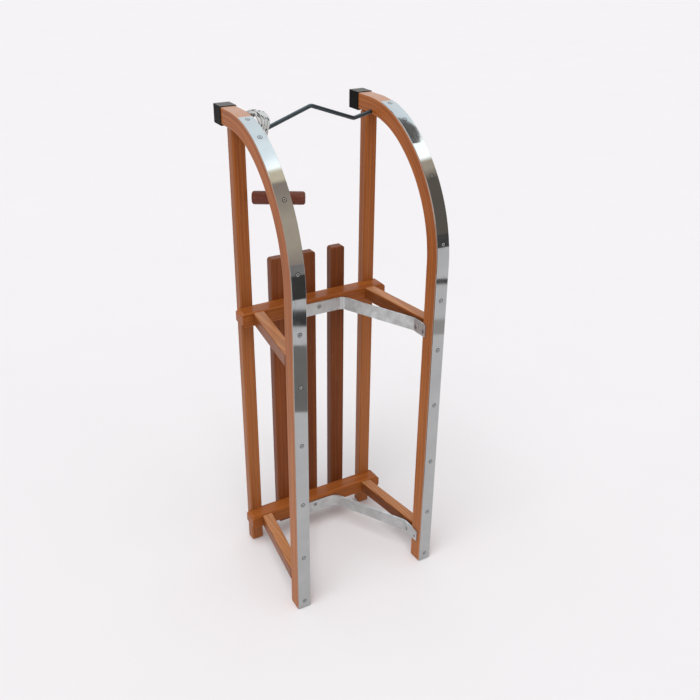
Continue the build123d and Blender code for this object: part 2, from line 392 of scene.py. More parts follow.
def finished(piece, material, slot, *nodes):
    """Gives a piece its material, its body and the CAD nodes that it stands for. The slot is not used."""
    piece.data.materials.clear()
    piece.data.materials.append(bpy.data.materials[material])
    if nodes:
        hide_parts(*nodes)
    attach(piece, "root")
    return piece


def dressed(material, *names):
    """Gives CAD nodes a better material."""
    for name in names:
        for slot in NODES[name].material_slots:
            slot.material = bpy.data.materials[material]


def strip_along(sizes, name, width, inset, height, tail, last_turn, tip):
    """A bar of one width that follows the runner's line, as a closed mesh in the runner's own plane.

    It starts as a plane for the straight part, whose top edge is spun round the two bends. inset is
    how far its outer face lies in from the wood face, and it ends at last_turn, or at the depth tip.
    """
    first, second = (centre for centre, radius in bends(sizes))
    face = sizes.shoe_thickness + inset
    run = first[1] - tail
    bpy.ops.mesh.primitive_plane_add(
        size=1,
        location=(-width / 2, face + height / 2, tail + run / 2),
        rotation=(0, math.radians(90), 0),
    )
    bpy.context.active_object.scale = (run, height, 1)
    piece = started(name)
    edit(piece)
    bpy.ops.mesh.normals_make_consistent(inside=False)
    pick(piece, "EDGE", lambda edge: all(v.co.z > first[1] - NEAR for v in edge.verts))
    turns = (sizes.long_turn, last_turn - sizes.long_turn)
    for centre, turn, steps in zip((first, second), turns, CURL_STEPS):
        bpy.ops.mesh.spin(steps=steps, angle=turn, center=(-width / 2, *centre), axis=(1, 0, 0))
    if tip:
        extruded(0, tip - second[0], 0)
    bpy.ops.mesh.select_all(action="SELECT")
    extruded(width, 0, 0)
    closed()
    return piece


def long_edge(sizes, edge, width, inset):
    """True for an edge that runs along a bar's side, so far in from the wood face."""
    a, b = (corner.co for corner in edge.verts)
    if abs(a.x - b.x) > CLOSE or abs(abs(a.x) - width / 2) > 2 * CLOSE:
        return False
    return all(abs(along_runner(sizes, p.y, p.z)[0] - inset) < 5 * CLOSE for p in (a, b))


def mark_length(sizes, piece, sign):
    """Stores each corner's place across, in from the wood face and along the runner.

    The two sides' lengths lie apart, so that each has its own grain.
    """
    laid = standing(sizes, sign).inverted()
    place = piece.data.attributes.new("runner_place", "FLOAT_VECTOR", "POINT")
    for index, corner in enumerate(piece.data.vertices):
        across, depth, height = laid @ corner.co
        inset, along = along_runner(sizes, depth, height)
        place.data[index].vector = (across, inset, along + sign)


# Materials

VECTOR, COLOUR, VALUE = "NodeSocketVector", "NodeSocketColor", "NodeSocketFloat"

# Turns of a piece's place that lay X or Y along the third axis
ALONG_X = (0, math.radians(90), 0)
ALONG_Y = (math.radians(90), 0, 0)

# The paler colour of the running face's wood where no shoe covers it, and the depth over which it pales
UNCOVERED_FACE_WOOD = (0.62, 0.42, 0.32, 1.0)
UNCOVERED_FACE_DEPTH = 0.0010

# The paler colour that the wood takes towards the tails, and the heights between which it pales
TAIL_PALE_WOOD = (0.58, 0.27, 0.12, 1.0)
TAIL_PALE_HEIGHTS = (0.85, 0.35)


def add(tree, kind, inputs=None, **settings):
    """A node with its settings and inputs, each a value or another node's output."""
    made = tree.nodes.new(kind)
    for name, value in settings.items():
        setattr(made, name, value)
    for name, value in (inputs or {}).items():
        socket = made.inputs[name]
        if isinstance(value, bpy.types.NodeSocket):
            tree.links.new(value, socket)
        else:
            socket.default_value = value
    return made


def effect(name, inputs, outputs):
    """An empty shader node group with named inputs and outputs."""
    tree = bpy.data.node_groups.new(name, "ShaderNodeTree")
    for socket_name, kind, value in inputs:
        socket = tree.interface.new_socket(name=socket_name, in_out="INPUT", socket_type=kind)
        if value is not None:
            socket.default_value = value
    for socket_name, kind in outputs:
        tree.interface.new_socket(name=socket_name, in_out="OUTPUT", socket_type=kind)
    return tree, tree.nodes.new("NodeGroupInput").outputs, tree.nodes.new("NodeGroupOutput").inputs


def math_node(tree, operation, first, second=None, third=None):
    """The result of one operation on up to three values."""
    values = {i: v for i, v in enumerate((first, second, third)) if v is not None}
    return add(tree, "ShaderNodeMath", values, operation=operation).outputs[0]


def scaled(tree, value, share, plus):
    """A value times a share, plus another value."""
    return math_node(tree, "MULTIPLY_ADD", value, share, plus)


def split(tree, vector):
    """A vector's three parts."""
    return add(tree, "ShaderNodeSeparateXYZ", {0: vector}).outputs


def upward(tree):
    """How far a surface faces up."""
    return split(tree, add(tree, "ShaderNodeNewGeometry").outputs["Normal"])[2]


def stretched(tree, place, scale):
    """A place stretched along each of its axes."""
    made = add(tree, "ShaderNodeVectorMath", {0: place, 1: scale}, operation="MULTIPLY")
    return made.outputs[0]


def noise(tree, place, scale, detail=2.0, roughness=0.5):
    """A noise's value."""
    inputs = {"Vector": place, "Scale": scale, "Detail": detail, "Roughness": roughness}
    return add(tree, "ShaderNodeTexNoise", inputs).outputs["Fac"]


def ranged(tree, value, low, high, to_low=0.0, to_high=1.0):
    """A value taken from one range to another and held there."""
    inputs = {"Value": value, "From Min": low, "From Max": high, "To Min": to_low, "To Max": to_high}
    return add(tree, "ShaderNodeMapRange", inputs).outputs[0]


def mixed(tree, share, first, second, blend="MIX"):
    """A mix of two colours."""
    made = add(tree, "ShaderNodeMix", {0: share, 6: first, 7: second}, data_type="RGBA", blend_type=blend)
    return made.outputs[2]


def grain_group():
    """Beech grain: growth lines, fibres and ray flecks, along the third axis of its place."""
    tree, given, out = effect(
        "Beech Grain",
        (
            ("Place", VECTOR, None),
            ("Light", COLOUR, None),
            ("Dark", COLOUR, None),
            ("Contrast", VALUE, 1.0),
            ("Wear", VALUE, 0.4),
        ),
        (("Color", COLOUR), ("Roughness", VALUE), ("Height", VALUE)),
    )
    place = given["Place"]
    rings = {"Vector": stretched(tree, place, (1, 1, 0.035)), "Scale": 48.0, "Distortion": 7.0}
    rings |= {"Detail": 3.0, "Detail Scale": 1.6, "Detail Roughness": 0.6}
    bands = add(tree, "ShaderNodeTexWave", rings, wave_type="RINGS", rings_direction="Z").outputs["Fac"]
    streaks = noise(tree, stretched(tree, place, (230, 230, 5)), 1.0, 4.0, 0.6)
    fibres = noise(tree, stretched(tree, place, (1400, 1400, 30)), 1.0, 2.0)
    tone = noise(tree, stretched(tree, place, (9, 9, 2.2)), 1.0, 2.0)
    rays = noise(tree, stretched(tree, place, (900, 900, 170)), 1.0, 1.0)
    rays = ranged(tree, rays, 0.66, 0.74)

    share = scaled(tree, bands, 0.30, 0.0)
    share = scaled(tree, streaks, 0.75, share)
    share = scaled(tree, fibres, 0.22, share)
    share = scaled(tree, tone, 0.45, share)
    share = math_node(tree, "SUBTRACT", share, 0.86)
    share = scaled(tree, share, given["Contrast"], 0.5)
    share = add(tree, "ShaderNodeClamp", {0: share}).outputs[0]
    wood = mixed(tree, share, given["Light"], given["Dark"])
    wood = mixed(tree, math_node(tree, "MULTIPLY", rays, 0.30), wood, given["Dark"])

    scuffs = noise(tree, stretched(tree, place, (140, 140, 26)), 1.0, 5.0, 0.7)
    scuffs = math_node(tree, "MULTIPLY", ranged(tree, scuffs, 0.60, 0.72), given["Wear"])
    pale = mixed(tree, 0.5, wood, (0.42, 0.27, 0.16, 1.0))
    tree.links.new(mixed(tree, scuffs, wood, pale), out["Color"])
    shine = scaled(tree, fibres, 0.16, 0.26)
    tree.links.new(scaled(tree, scuffs, 0.25, shine), out["Roughness"])
    relief = scaled(tree, streaks, 0.6, fibres)
    tree.links.new(math_node(tree, "SUBTRACT", relief, rays), out["Height"])


def scratch_group():
    """Fine scratches along the third axis of its place, with cloudy patches."""
    tree, given, out = effect(
        "Fine Scratches",
        (
            ("Place", VECTOR, None),
            ("Amount", VALUE, 0.5),
            ("Clouds", VALUE, 30.0),
        ),
        (("Scratches", VALUE), ("Patches", VALUE), ("Height", VALUE)),
    )
    place = given["Place"]
    fine = noise(tree, stretched(tree, place, (2600, 2600, 22)), 1.0, 2.0, 0.6)
    coarse = noise(tree, stretched(tree, place, (900, 900, 9)), 1.0, 3.0, 0.6)
    marks = math_node(tree, "MAXIMUM", ranged(tree, fine, 0.60, 0.70), ranged(tree, coarse, 0.63, 0.72))
    patches = noise(tree, place, given["Clouds"], 4.0, 0.6)
    marks = math_node(tree, "MULTIPLY", marks, given["Amount"])
    tree.links.new(marks, out["Scratches"])
    tree.links.new(ranged(tree, patches, 0.35, 0.65), out["Patches"])
    tree.links.new(scaled(tree, fine, -0.5, marks), out["Height"])


def surface(name, **shader):
    """A material, or the CAD's own of that name, with a principled shader and constants on its sockets."""
    material = bpy.data.materials.get(name) or bpy.data.materials.new(name)
    material.use_nodes = True
    tree = material.node_tree
    tree.nodes.clear()
    bsdf = add(tree, "ShaderNodeBsdfPrincipled")
    out = add(tree, "ShaderNodeOutputMaterial")
    tree.links.new(bsdf.outputs[0], out.inputs["Surface"])
    for socket, value in shader.items():
        bsdf.inputs[socket.replace("_", " ")].default_value = value
    return tree, bsdf


def colour(value):
    """A property's colour with its alpha."""
    return (*value, 1.0)


def toned(value, *shares):
    """A property's colour times one share, or times one for each of its parts."""
    return tuple(part * share for part, share in zip(value, shares if len(shares) == 3 else shares * 3))


def linked(tree, bsdf, tone, roughness, height, strength, distance):
    """Gives a shader its colour, its roughness and bump from a height."""
    tree.links.new(tone, bsdf.inputs["Base Color"])
    if roughness is not None:
        tree.links.new(roughness, bsdf.inputs["Roughness"])
    bump = add(tree, "ShaderNodeBump", {"Height": height, "Strength": strength, "Distance": distance})
    tree.links.new(bump.outputs["Normal"], bsdf.inputs["Normal"])


def own_place(tree, turn=None):
    """The place on a piece: its Object coordinates, turned so that its length is the third axis."""
    place = add(tree, "ShaderNodeTexCoord").outputs["Object"]
    if turn is None:
        return place
    return add(tree, "ShaderNodeMapping", {"Vector": place, "Rotation": turn}).outputs[0]


def runner_place(tree):
    """The place along a bent piece, from its own attribute."""
    return add(tree, "ShaderNodeAttribute", attribute_name="runner_place").outputs["Vector"]


def grouped(tree, name, bent, turn, inputs):
    """A shared effect, laid along a bent piece or along a straight one."""
    place = runner_place(tree) if bent else own_place(tree, turn)
    given = {"Place": place, **inputs}
    return add(tree, "ShaderNodeGroup", given, node_tree=bpy.data.node_groups[name]).outputs


def beech(
    name, light, dark, turn=None, bent=False, contrast=1.0, wear=0.4, coat=0.10, tail_paling=0.0, top=None
):
    """Varnished beech with its grain along the piece, paler towards the tails, and painted light on its top
    faces.
    """
    tree, bsdf = surface(name, Specular_IOR_Level=0.10, Coat_Weight=coat, Coat_Roughness=0.12)
    inputs = {"Light": colour(light), "Dark": colour(dark), "Contrast": contrast, "Wear": wear}
    grain = grouped(tree, "Beech Grain", bent, turn, inputs)
    tone = grain["Color"]
    if tail_paling:
        height = split(tree, own_place(tree))[2]
        tone = mixed(tree, ranged(tree, height, *TAIL_PALE_HEIGHTS, 0.0, tail_paling), tone, TAIL_PALE_WOOD)
    # Painted light: faces that look up are multiplied by a paler, bluer colour
    if top:
        painted_light_top = mixed(tree, 1.0, tone, colour(top), "MULTIPLY")
        tone = mixed(tree, ranged(tree, upward(tree), 0.5, 0.8), tone, painted_light_top)
    if bent:
        inset = split(tree, runner_place(tree))[1]
        tone = mixed(tree, ranged(tree, inset, UNCOVERED_FACE_DEPTH, 0.0, 0.0, 0.55), tone, UNCOVERED_FACE_WOOD)
    linked(tree, bsdf, tone, grain["Roughness"], grain["Height"], 0.25, 0.0002)


def metal(
    name, tint, rough, spread, amount, clouds, bent=False, turn=None, depth=0.15, shade=0.72, painted_screw_shade=False
):
    """Metal with scratches and cloudy patches, and painted shade where a screw has its gap and its recess."""
    tree, bsdf = surface(name, Metallic=1.0)
    marks = grouped(tree, "Fine Scratches", bent, turn, {"Amount": amount, "Clouds": clouds})
    cloudy = math_node(tree, "MULTIPLY", marks["Patches"], 0.6)
    tone = mixed(tree, cloudy, colour(tint), colour(toned(tint, shade)))
    if painted_screw_shade:
        # Painted shade in a screw's gap and recess
        gap = add(tree, "ShaderNodeAttribute", attribute_name="screw_painted_shade").outputs["Fac"]
        tone = mixed(tree, gap, tone, (0.03, 0.03, 0.035, 1.0))
    level = scaled(tree, marks["Patches"], spread, rough)
    level = scaled(tree, marks["Scratches"], 0.16, level)
    linked(tree, bsdf, tone, level, marks["Height"], depth, 0.00005)


def flecked_rope(finish):
    """Braided rope with dark tracer strands, on the tube's own UV map in millimetres."""
    tree, bsdf = surface("flecked_rope", Roughness=0.85, Sheen_Weight=0.25)
    uv = add(tree, "ShaderNodeUVMap", uv_map="rope_length").outputs[0]
    across, along = split(tree, uv)[:2]
    turn = math_node(tree, "MULTIPLY", across, BRAID_CELLS)
    rise = math_node(tree, "DIVIDE", along, BRAID_RISE)
    left = math_node(tree, "FLOOR", math_node(tree, "ADD", turn, rise))
    right = math_node(tree, "FLOOR", math_node(tree, "SUBTRACT", turn, rise))
    cell = add(tree, "ShaderNodeCombineXYZ", {0: left, 1: right}).outputs[0]
    chance = add(tree, "ShaderNodeTexWhiteNoise", {"Vector": cell}, noise_dimensions="3D").outputs["Value"]
    tracer = math_node(tree, "PINGPONG", left, 2.0)
    tracer = math_node(tree, "LESS_THAN", tracer, 0.5)
    flecks = math_node(tree, "MULTIPLY", tracer, math_node(tree, "GREATER_THAN", chance, 0.55))
    flecks = math_node(tree, "MAXIMUM", flecks, math_node(tree, "GREATER_THAN", chance, 0.97))
    fuzz = noise(tree, own_place(tree), 2600.0, 3.0, 0.7)
    pale = mixed(tree, fuzz, colour(finish.rope_pale), colour(toned(finish.rope_pale, 0.65)))
    tone = mixed(tree, math_node(tree, "MULTIPLY", flecks, 0.96), pale, colour(finish.rope_fleck))
    linked(tree, bsdf, tone, None, fuzz, 0.5, 0.0003)


def moulded_plastic(finish):
    """Black plastic with a fine texture, rubbed patches, and a painted highlight on its up-facing faces."""
    tree, bsdf = surface("black_plastic", Specular_IOR_Level=0.03)
    place = own_place(tree)
    texture = noise(tree, place, 1800.0, 3.0, 0.6)
    rubbed = ranged(tree, noise(tree, place, 90.0, 5.0, 0.7), 0.52, 0.68)
    # Painted highlight on the up-facing faces, uneven with the rubbed patches
    outer = ranged(tree, upward(tree), 0.75, 0.98)
    tone = mixed(tree, rubbed, colour(finish.plastic), colour(toned(finish.plastic, 2.4)))
    painted_highlight = scaled(tree, rubbed, 0.25, 0.75)
    tone = mixed(tree, math_node(tree, "MULTIPLY", painted_highlight, outer), tone, colour(finish.plastic_painted_highlight))
    linked(tree, bsdf, tone, scaled(tree, rubbed, 0.18, 0.38), texture, 0.35, 0.0001)


class SLED_OT_finishes(bpy.types.Operator):
    """Makes the materials of the wood, the metal, the rope and the plastic"""

    bl_idname = "sled.finishes"
    bl_label = "Finishes"

    def execute(self, context):
        finish = context.scene.sled_finish
        grain_group()
        scratch_group()
        light, dark = finish.beech_light, finish.beech_dark
        beech("varnished_beech", light, dark, tail_paling=0.14)
        bent = {"bent": True, "contrast": 1.2, "coat": 0.03, "tail_paling": 0.22}
        beech("varnished_beech_bent", toned(light, 1.25), toned(dark, 1.25), **bent)
        beech("varnished_beech_across", toned(light, 1.10), toned(dark, 1.10), turn=ALONG_X)
        # Painted shade darkens the legs, and painted light pales their up-facing faces
        under, top = (0.80, 0.80, 0.95), (1.9, 2.8, 4.6)
        beech("varnished_beech_legs", toned(light, *under), toned(dark, *under), turn=ALONG_Y, top=top)
        # Painted shade: the slats are darker than the other beech, slat_1 less so than the rest
        light, dark = toned(finish.slat_shaded_light, 1.15), toned(finish.slat_shaded_dark, 1.15)
        beech("shaded_beech", light, dark, wear=0.2, coat=0.02)
        beech("beech_lighter_painted_shade", toned(light, 1.3), toned(dark, 1.3), wear=0.2, coat=0.02)
        light, dark = finish.handle_light, finish.handle_dark
        beech("turned_handle", light, dark, turn=ALONG_X, contrast=0.9, wear=0.6)
        metal("polished_steel", finish.steel, 0.03, 0.03, 0.3, 18.0, bent=True, depth=0.06, shade=0.85)
        metal("zinc_plated_steel", finish.zinc, 0.26, 0.20, 0.4, 60.0, turn=ALONG_X, depth=0.3)
        metal("zinc_plated_screws", finish.zinc, 0.24, 0.15, 0.4, 300.0, painted_screw_shade=True)
        metal("dark_steel", finish.bow_steel, 0.30, 0.15, 0.6, 70.0, turn=ALONG_X)
        flecked_rope(finish)
        moulded_plastic(finish)
        return {"FINISHED"}


# Pieces

class SLED_OT_runners(bpy.types.Operator):
    """Bends the two runners, with rounded edges and the blind holes for the draw bow"""

    bl_idname = "sled.runners"
    bl_label = "Runners"

    def execute(self, context):
        sizes = context.scene.sled_sizes
        width, height = sizes.runner_width, sizes.runner_height
        tip = sizes.tip_depth - sizes.cap_wall - FIT
        bar = strip_along(
            sizes, "bent_runner_left", width, 0, height, sizes.shoe_thickness, math.radians(90), tip
        )
        edit(bar)
        pick(bar, "EDGE", lambda edge: long_edge(sizes, edge, width, height))
        round_edges(sizes.runner_rounding, 5)
        pick(bar, "EDGE", lambda edge: long_edge(sizes, edge, width, 0))
        round_edges(0.001, 2)
        tail = sizes.shoe_thickness + CLOSE
        pick(bar, "EDGE", lambda edge: all(v.co.z < tail and v.co.y < tail for v in edge.verts))
        round_edges(0.002, 3)
        closed()
        twin = stood_on_both_sides(sizes, bar, "bent_runner_right")
        for piece, (side, sign) in zip((bar, twin), SIDES):
            mouth = at(sizes, sign * inner_face(sizes, sizes.bow_depth), sizes.bow_depth, sizes.bow_height)
            bpy.ops.mesh.primitive_cylinder_add(
                vertices=32,
                radius=sizes.bow_diameter / 2 + FIT,
                depth=2 * (sizes.bow_socket / math.cos(sizes.bow_slope) + FIT),
                location=mouth,
                rotation=(0, math.radians(90) + sign * sizes.bow_slope, 0),
            )
            cut_out(piece, started("bow_hole"))
            mark_length(sizes, piece, sign)
            smooth(piece, 32)
            finished(piece, "varnished_beech_bent", "varnished_beech", f"runner_{side}")
        return {"FINISHED"}


class SLED_OT_shoes(bpy.types.Operator):
    """Bends the bright steel shoes round the running faces and the tails"""

    bl_idname = "sled.shoes"
    bl_label = "Shoes"

    def execute(self, context):
        sizes = context.scene.sled_sizes
        thick, width = sizes.shoe_thickness, sizes.shoe_width
        outer = 2 * thick
        shoe = strip_along(
            sizes, "steel_shoe_left", width, -thick, thick, outer, math.radians(90) - sizes.shoe_short, None
        )
        edit(shoe)
        pick(shoe, "FACE", lambda face: face.normal.z < -0.9 and face.calc_center_median().z < outer + NEAR)
        bpy.ops.mesh.spin(steps=8, angle=math.radians(-90), center=(0, outer, outer), axis=(1, 0, 0))
        extruded(0, sizes.shoe_wrap - outer, 0)
        bpy.ops.mesh.select_all(action="SELECT")
        bpy.ops.mesh.remove_doubles(threshold=SAME_PLACE)
        bpy.ops.mesh.select_all(action="DESELECT")
        bpy.ops.mesh.select_mode(type="FACE")
        bpy.ops.mesh.select_interior_faces()
        bpy.ops.mesh.delete(type="FACE")
        pick(shoe, "EDGE", lambda edge: len(edge.link_faces) == 2 and edge.calc_face_angle() > 1.3)
        round_edges(0.0006, 2)
        closed()
        twin = stood_on_both_sides(sizes, shoe, "steel_shoe_right")
        for piece, (side, sign) in zip((shoe, twin), SIDES):
            mark_length(sizes, piece, sign)
            smooth(piece, 20)
            finished(piece, "polished_steel", "polished_steel", f"shoe_{side}")
        return {"FINISHED"}


def screw(sizes, name):
    """A countersunk screw's head in its gap, with a cross recess, just above the plane z = 0."""
    radius, gap, proud = sizes.screw_head / 2, 0.0013, 0.00015
    deep, slot_width = 0.0012, 0.0014
    bpy.ops.mesh.primitive_cylinder_add(
        vertices=28, radius=radius + gap, depth=deep, location=(0, 0, -0.00058)
    )
    head = started(name)
    edit(head)
    pick(head, "FACE", lambda face: face.normal.z > 0.9)
    bpy.ops.mesh.inset(thickness=gap)
    extruded(0, 0, proud)
    pick(head, "EDGE", lambda edge: all(v.co.z > proud / 2 for v in edge.verts))
    round_edges(0.0001, 2)
    closed()
    for turn in (0, 90):
        bpy.ops.mesh.primitive_cube_add(size=1, location=(0, 0, 0.00062), rotation=(0, 0, math.radians(turn)))
        bpy.context.active_object.scale = (radius * 1.25, slot_width, deep)
        cut_out(head, started("screw_slot"))
    # Painted shade: corners at the bottom of the head's gap and of its cross recess are marked for a dark
    # colour
    shade = head.data.attributes.new("screw_painted_shade", "FLOAT", "POINT")
    for index, corner in enumerate(head.data.vertices):
        shade.data[index].value = 1.0 if corner.co.z < 0.00003 else 0.0
    smooth(head, 30)
    return head


def screws_at(sizes, name, places, seed):
    """One piece of screw heads, each on its place with its outward direction."""
    spin = random.Random(seed)
    head = screw(sizes, "screw_head")
    heads = []
    for index, (place, outward) in enumerate(places):
        turn = Vector(outward).to_track_quat("Z", "Y").to_matrix().to_4x4()
        own = Matrix.Rotation(spin.uniform(0, math.pi), 4, "Z")
        heads.append(copied(head, f"{name}_{index}", Matrix.Translation(place) @ turn @ own))
    bpy.data.objects.remove(head)
    return finished(joined(heads, name), "zinc_plated_screws", "zinc_plated_steel")


class SLED_OT_screws(bpy.types.Operator):
    """Sets the screws of the shoes, the braces and the seat"""

    bl_idname = "sled.screws"
    bl_label = "Screws"

    def execute(self, context):
        sizes = context.scene.sled_sizes
        for side, sign in SIDES:
            place = standing(sizes, sign)
            shoe = []
            for height in SHOE_SCREW_HEIGHTS:
                shoe.append((place @ Vector((0, 0, height)), place.to_3x3() @ Vector((0, -1, 0))))
            for degrees in SHOE_SCREW_TURNS:
                turn = math.radians(degrees)
                depth, height = on_curl(sizes, turn, -sizes.shoe_thickness)
                out = Vector((0, -math.cos(turn), math.sin(turn)))
                shoe.append((place @ Vector((0, depth, height)), place.to_3x3() @ out))
            screws_at(sizes, f"shoe_screws_{side}", shoe, 3 + sign)
        for name, middle, flat_height, depths, tab_height in BRACE_SCREWS:
            strip = NODES[f"brace_{name}"]
            front = outer_surface(strip, Vector((middle, -1, flat_height)), Vector((0, 1, 0)))
            found = [(front, (0, -1, 0))]
            for side, sign in SIDES:
                for depth in depths:
                    start = at(sizes, 0, depth, tab_height)
                    found.append((outer_surface(strip, start, Vector((sign, 0, 0))), (-sign, 0, 0)))
            screws_at(sizes, f"brace_screws_{name}", found, 11)
        seat = []
        for height in BEAM_HEIGHTS:
            for name in ("slat_1", "slat_2", "slat_3", "rail_left", "rail_right"):
                low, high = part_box(name)
                seat.append((Vector(((low.x + high.x) / 2, high.y, height)), (0, 1, 0)))
        screws_at(sizes, "seat_screws", seat, 21)
        return {"FINISHED"}


def outer_surface(node, start, direction):
    """Where a ray from a point first meets a CAD node."""
    hit, place = node.ray_cast(start, direction)[:2]
    if not hit:
        raise RuntimeError(f"no surface of {node.name} on the way from {tuple(start)}")
    return place


class SLED_OT_tip_caps(bpy.types.Operator):
    """Moulds the black caps on the runners' tips, hollow and open towards the curl"""

    bl_idname = "sled.tip_caps"
    bl_label = "Tip Caps"

    def execute(self, context):
        sizes = context.scene.sled_sizes
        wall = sizes.cap_wall
        wide = sizes.runner_width + 2 * (wall + FIT)
        high = sizes.runner_height + 2 * (wall + FIT)
        middle = sizes.wood_top - sizes.runner_height / 2
        mouth = sizes.tip_depth - sizes.cap_length
        bpy.ops.mesh.primitive_cube_add(size=1, location=(0, mouth + sizes.cap_length / 2, middle))
        bpy.context.active_object.scale = (wide, sizes.cap_length, high)
        cap = started("tip_cap")
        edit(cap)
        pick(cap, "EDGE", lambda edge: any(v.co.y > mouth + 0.001 for v in edge.verts))
        round_edges(0.0013, 4)
        pick(cap, "FACE", lambda face: face.normal.y < -0.9)
        bpy.ops.mesh.inset(thickness=wall * 0.35)
        pick(cap, "FACE", lambda face: face.normal.y < -0.9 and face.calc_area() > 0.8 * wide * high)
        bpy.ops.mesh.inset(thickness=wall * 0.65 - 0.00005)
        extruded(0, sizes.cap_length - wall, 0)
        closed()
        smooth(cap, 40)
        for side, sign in SIDES:
            piece = copied(cap, f"tip_cap_{side}", standing(sizes, sign))
            finished(piece, "black_plastic", "black_plastic", f"cap_{side}")
        bpy.data.objects.remove(cap)
        return {"FINISHED"}


class SLED_OT_seat_and_trestles(bpy.types.Operator):
    """Gives the rails, slats, beams, legs, braces and draw bow their materials"""

    bl_idname = "sled.seat_and_trestles"
    bl_label = "Seat and Trestles"

    def execute(self, context):
        dressed("varnished_beech", "rail_left", "rail_right")
        # The slats carry painted shade, slat_1 less of it
        dressed("beech_lighter_painted_shade", "slat_1")
        dressed("shaded_beech", "slat_2", "slat_3")
        dressed("varnished_beech_across", "beam_front", "beam_rear")
        legs = [f"leg_{place}_{side}" for place in ("front", "rear") for side in ("left", "right")]
        dressed("varnished_beech_legs", *legs)
        dressed("zinc_plated_steel", "brace_front", "brace_rear")
        dressed("dark_steel", "draw_bow")
        return {"FINISHED"}


# The rope's points after its turns on the bow: across, depth and height
ROPE_ROUTE = (
    (-0.1045, 0.2260, 0.9538),
    (-0.1025, 0.2245, 0.9120),
    (-0.0820, 0.2230, 0.8680),
    (-0.0820, 0.2230, 0.8182),
    (-0.0820, 0.2230, 0.8110),
)

# Layers of turns on the bow: how many, where they start and end on it, their radii and their lift
WINDING_LAYERS = (
    (3.0, 0.0245, 0.0072, 0.0146, 0.0150, 0.0095),
    (3.1, 0.0066, 0.0245, 0.0196, 0.0192, 0.0095),
)
POINTS_PER_TURN = 14


def rope_route(sizes):
    """Control points of the whole rope: the turns on the bow, then the hanging stretch."""
    mouth = at(sizes, -inner_face(sizes, sizes.bow_depth), sizes.bow_depth, sizes.bow_height)
    inward = Vector((math.cos(sizes.bow_slope), 0, -math.sin(sizes.bow_slope)))
    over = Vector((math.sin(sizes.bow_slope), 0, math.cos(sizes.bow_slope)))
    front = Vector((0.55, -1, 0))
    shrink = math.cos(math.pi / POINTS_PER_TURN)
    uneven = random.Random(5)
    points = []
    turned = math.radians(90)
    for turns, start, end, radius, last_radius, lift in WINDING_LAYERS:
        count = round(turns * POINTS_PER_TURN)
        for step in range(count):
            share = step / count
            reach = (radius + (last_radius - radius) * share + uneven.uniform(-0.0003, 0.0003)) / shrink
            middle = mouth + inward * (start + (end - start) * share) + over * lift
            points.append(middle + over * math.cos(turned) * reach + front * math.sin(turned) * reach)
            turned += 2 * math.pi / POINTS_PER_TURN
    for x, depth, height in ROPE_ROUTE:
        points.append(at(sizes, x, depth, height))
    return points


def spline_points(points):
    """The points of the smooth line that follows a route, from a curve with no bevel."""
    curve = bpy.data.curves.new("tow_rope_route", "CURVE")
    curve.dimensions = "3D"
    curve.resolution_u = 6
    spline = curve.splines.new("NURBS")
    spline.points.add(len(points) - 1)
    for given, point in zip(spline.points, points):
        given.co = (*point, 1)
    spline.order_u = 3
    spline.use_endpoint_u = True
    carrier = bpy.data.objects.new("tow_rope_route", curve)
    mesh = bpy.data.meshes.new_from_object(carrier)
    line = [corner.co.copy() for corner in mesh.vertices]
    bpy.data.meshes.remove(mesh)
    bpy.data.objects.remove(carrier)
    bpy.data.curves.remove(curve)
    return line


def evenly(line, step):
    """Points on a line at even steps."""
    lengths = [0.0]
    for before, after in zip(line, line[1:]):
        lengths.append(lengths[-1] + (after - before).length)
    count = max(2, round(lengths[-1] / step))
    placed, index = [], 0
    for number in range(count + 1):
        wanted = lengths[-1] * number / count
        while index < len(line) - 2 and lengths[index + 1] < wanted:
            index += 1
        run = lengths[index + 1] - lengths[index]
        placed.append(line[index].lerp(line[index + 1], (wanted - lengths[index]) / run))
    return placed, lengths[-1]


def braided_tube(name, line, radius, length):
    """A tube with the relief of a braid, and a UV map of turns and millimetres."""
    around = 24
    mesh = bmesh.new()
    uv = mesh.loops.layers.uv.new("rope_length")
    rings, side = [], Vector((0, 0, 1))
    for index, point in enumerate(line):
        before, after = line[max(index - 1, 0)], line[min(index + 1, len(line) - 1)]
        ahead = (after - before).normalized()
        side = (side - ahead * side.dot(ahead)).normalized()
        other = ahead.cross(side)
        along = length * index / (len(line) - 1)
        ring = []
        for step in range(around):
            angle = 2 * math.pi * step / around
            weave = math.cos(BRAID_RIDGES * angle) + math.cos(2 * math.pi * along / BRAID_PITCH)
            reach = radius * (0.955 + 0.03 * weave)
            ring.append(mesh.verts.new(point + (side * math.cos(angle) + other * math.sin(angle)) * reach))
        rings.append(ring)
    for index, (ring, after) in enumerate(zip(rings, rings[1:])):
        low = 1000 * length * index / (len(line) - 1)
        high = 1000 * length * (index + 1) / (len(line) - 1)
        for step in range(around):
            following = (step + 1) % around
            face = mesh.faces.new((ring[step], ring[following], after[following], after[step]))
            face.smooth = True
            corners = ((step, low), (step + 1, low), (step + 1, high), (step, high))
            for loop, (turn, place) in zip(face.loops, corners):
                loop[uv].uv = (turn / around, place)
    mesh.faces.new(reversed(rings[0]))
    mesh.faces.new(rings[-1])
    data = bpy.data.meshes.new(name)
    mesh.to_mesh(data)
    mesh.free()
    piece = bpy.data.objects.new(name, data)
    bpy.context.scene.collection.objects.link(piece)
    return piece


